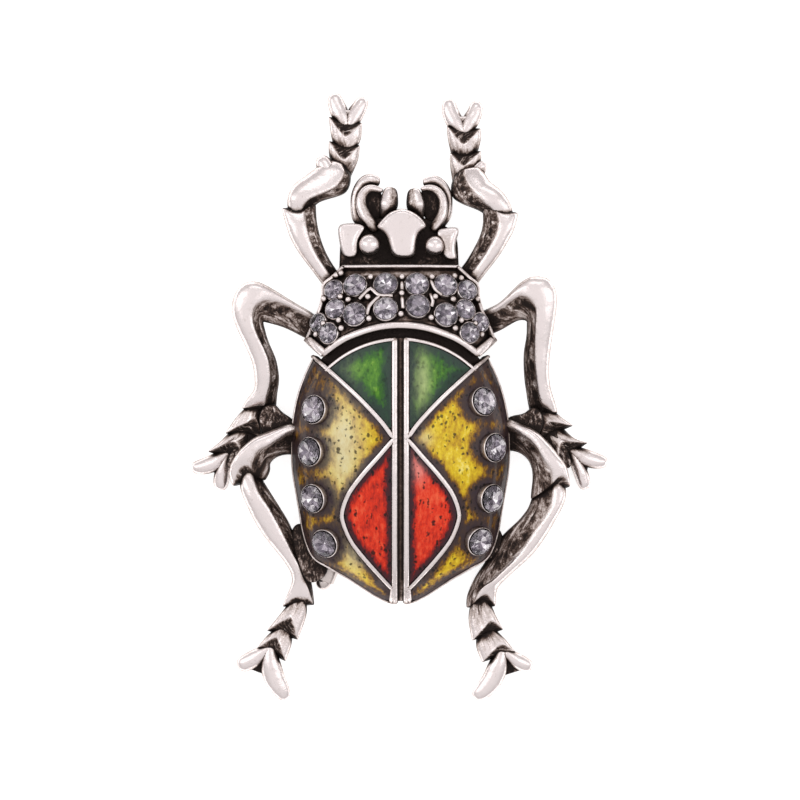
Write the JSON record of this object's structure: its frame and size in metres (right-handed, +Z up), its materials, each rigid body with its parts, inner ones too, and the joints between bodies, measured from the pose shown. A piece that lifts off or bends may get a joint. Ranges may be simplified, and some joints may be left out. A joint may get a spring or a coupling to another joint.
{
  "type": "beetle brooch",
  "caption": "Beetle brooch in antique silver metal with green, yellow and red enamel wing cases, a paved shield, collet-set stones along the sides and a wire pin on its hollow back.",
  "frame": {"origin": "under the middle of the brooch's bounding box, on the surface that its six feet rest on", "axes": "+Y along the body towards the head, +X towards the beetle's right wing case as the brooch is seen from above, +Z up through the back of the beetle"},
  "size_m": [0.0426, 0.062, 0.0098],
  "materials": {
    "antique_silver": "silver plate on a zinc alloy casting, blackened in the recesses and polished on the high spots",
    "green_enamel": "glossy translucent enamel over stippled metal",
    "yellow_enamel": "glossy translucent enamel over stippled metal",
    "red_enamel": "glossy translucent enamel over stippled metal",
    "smoky_glass": "cut glass stones, smoky blue-grey",
    "pin_steel": "plated steel wire, bright"
  },
  "bodies": {
    "root": {"casting": "antique_silver", "enamel_green_left": "green_enamel", "enamel_green_right": "green_enamel", "enamel_yellow_left": "yellow_enamel", "enamel_yellow_right": "yellow_enamel", "enamel_red_left": "red_enamel", "enamel_red_right": "red_enamel", "pave": "smoky_glass", "stone_left_1": "smoky_glass", "stone_left_2": "smoky_glass", "stone_left_3": "smoky_glass", "stone_left_4": "smoky_glass", "stone_right_1": "smoky_glass", "stone_right_2": "smoky_glass", "stone_right_3": "smoky_glass", "stone_right_4": "smoky_glass", "brooch_pin": "pin_steel"}
  },
  "joints": []
}
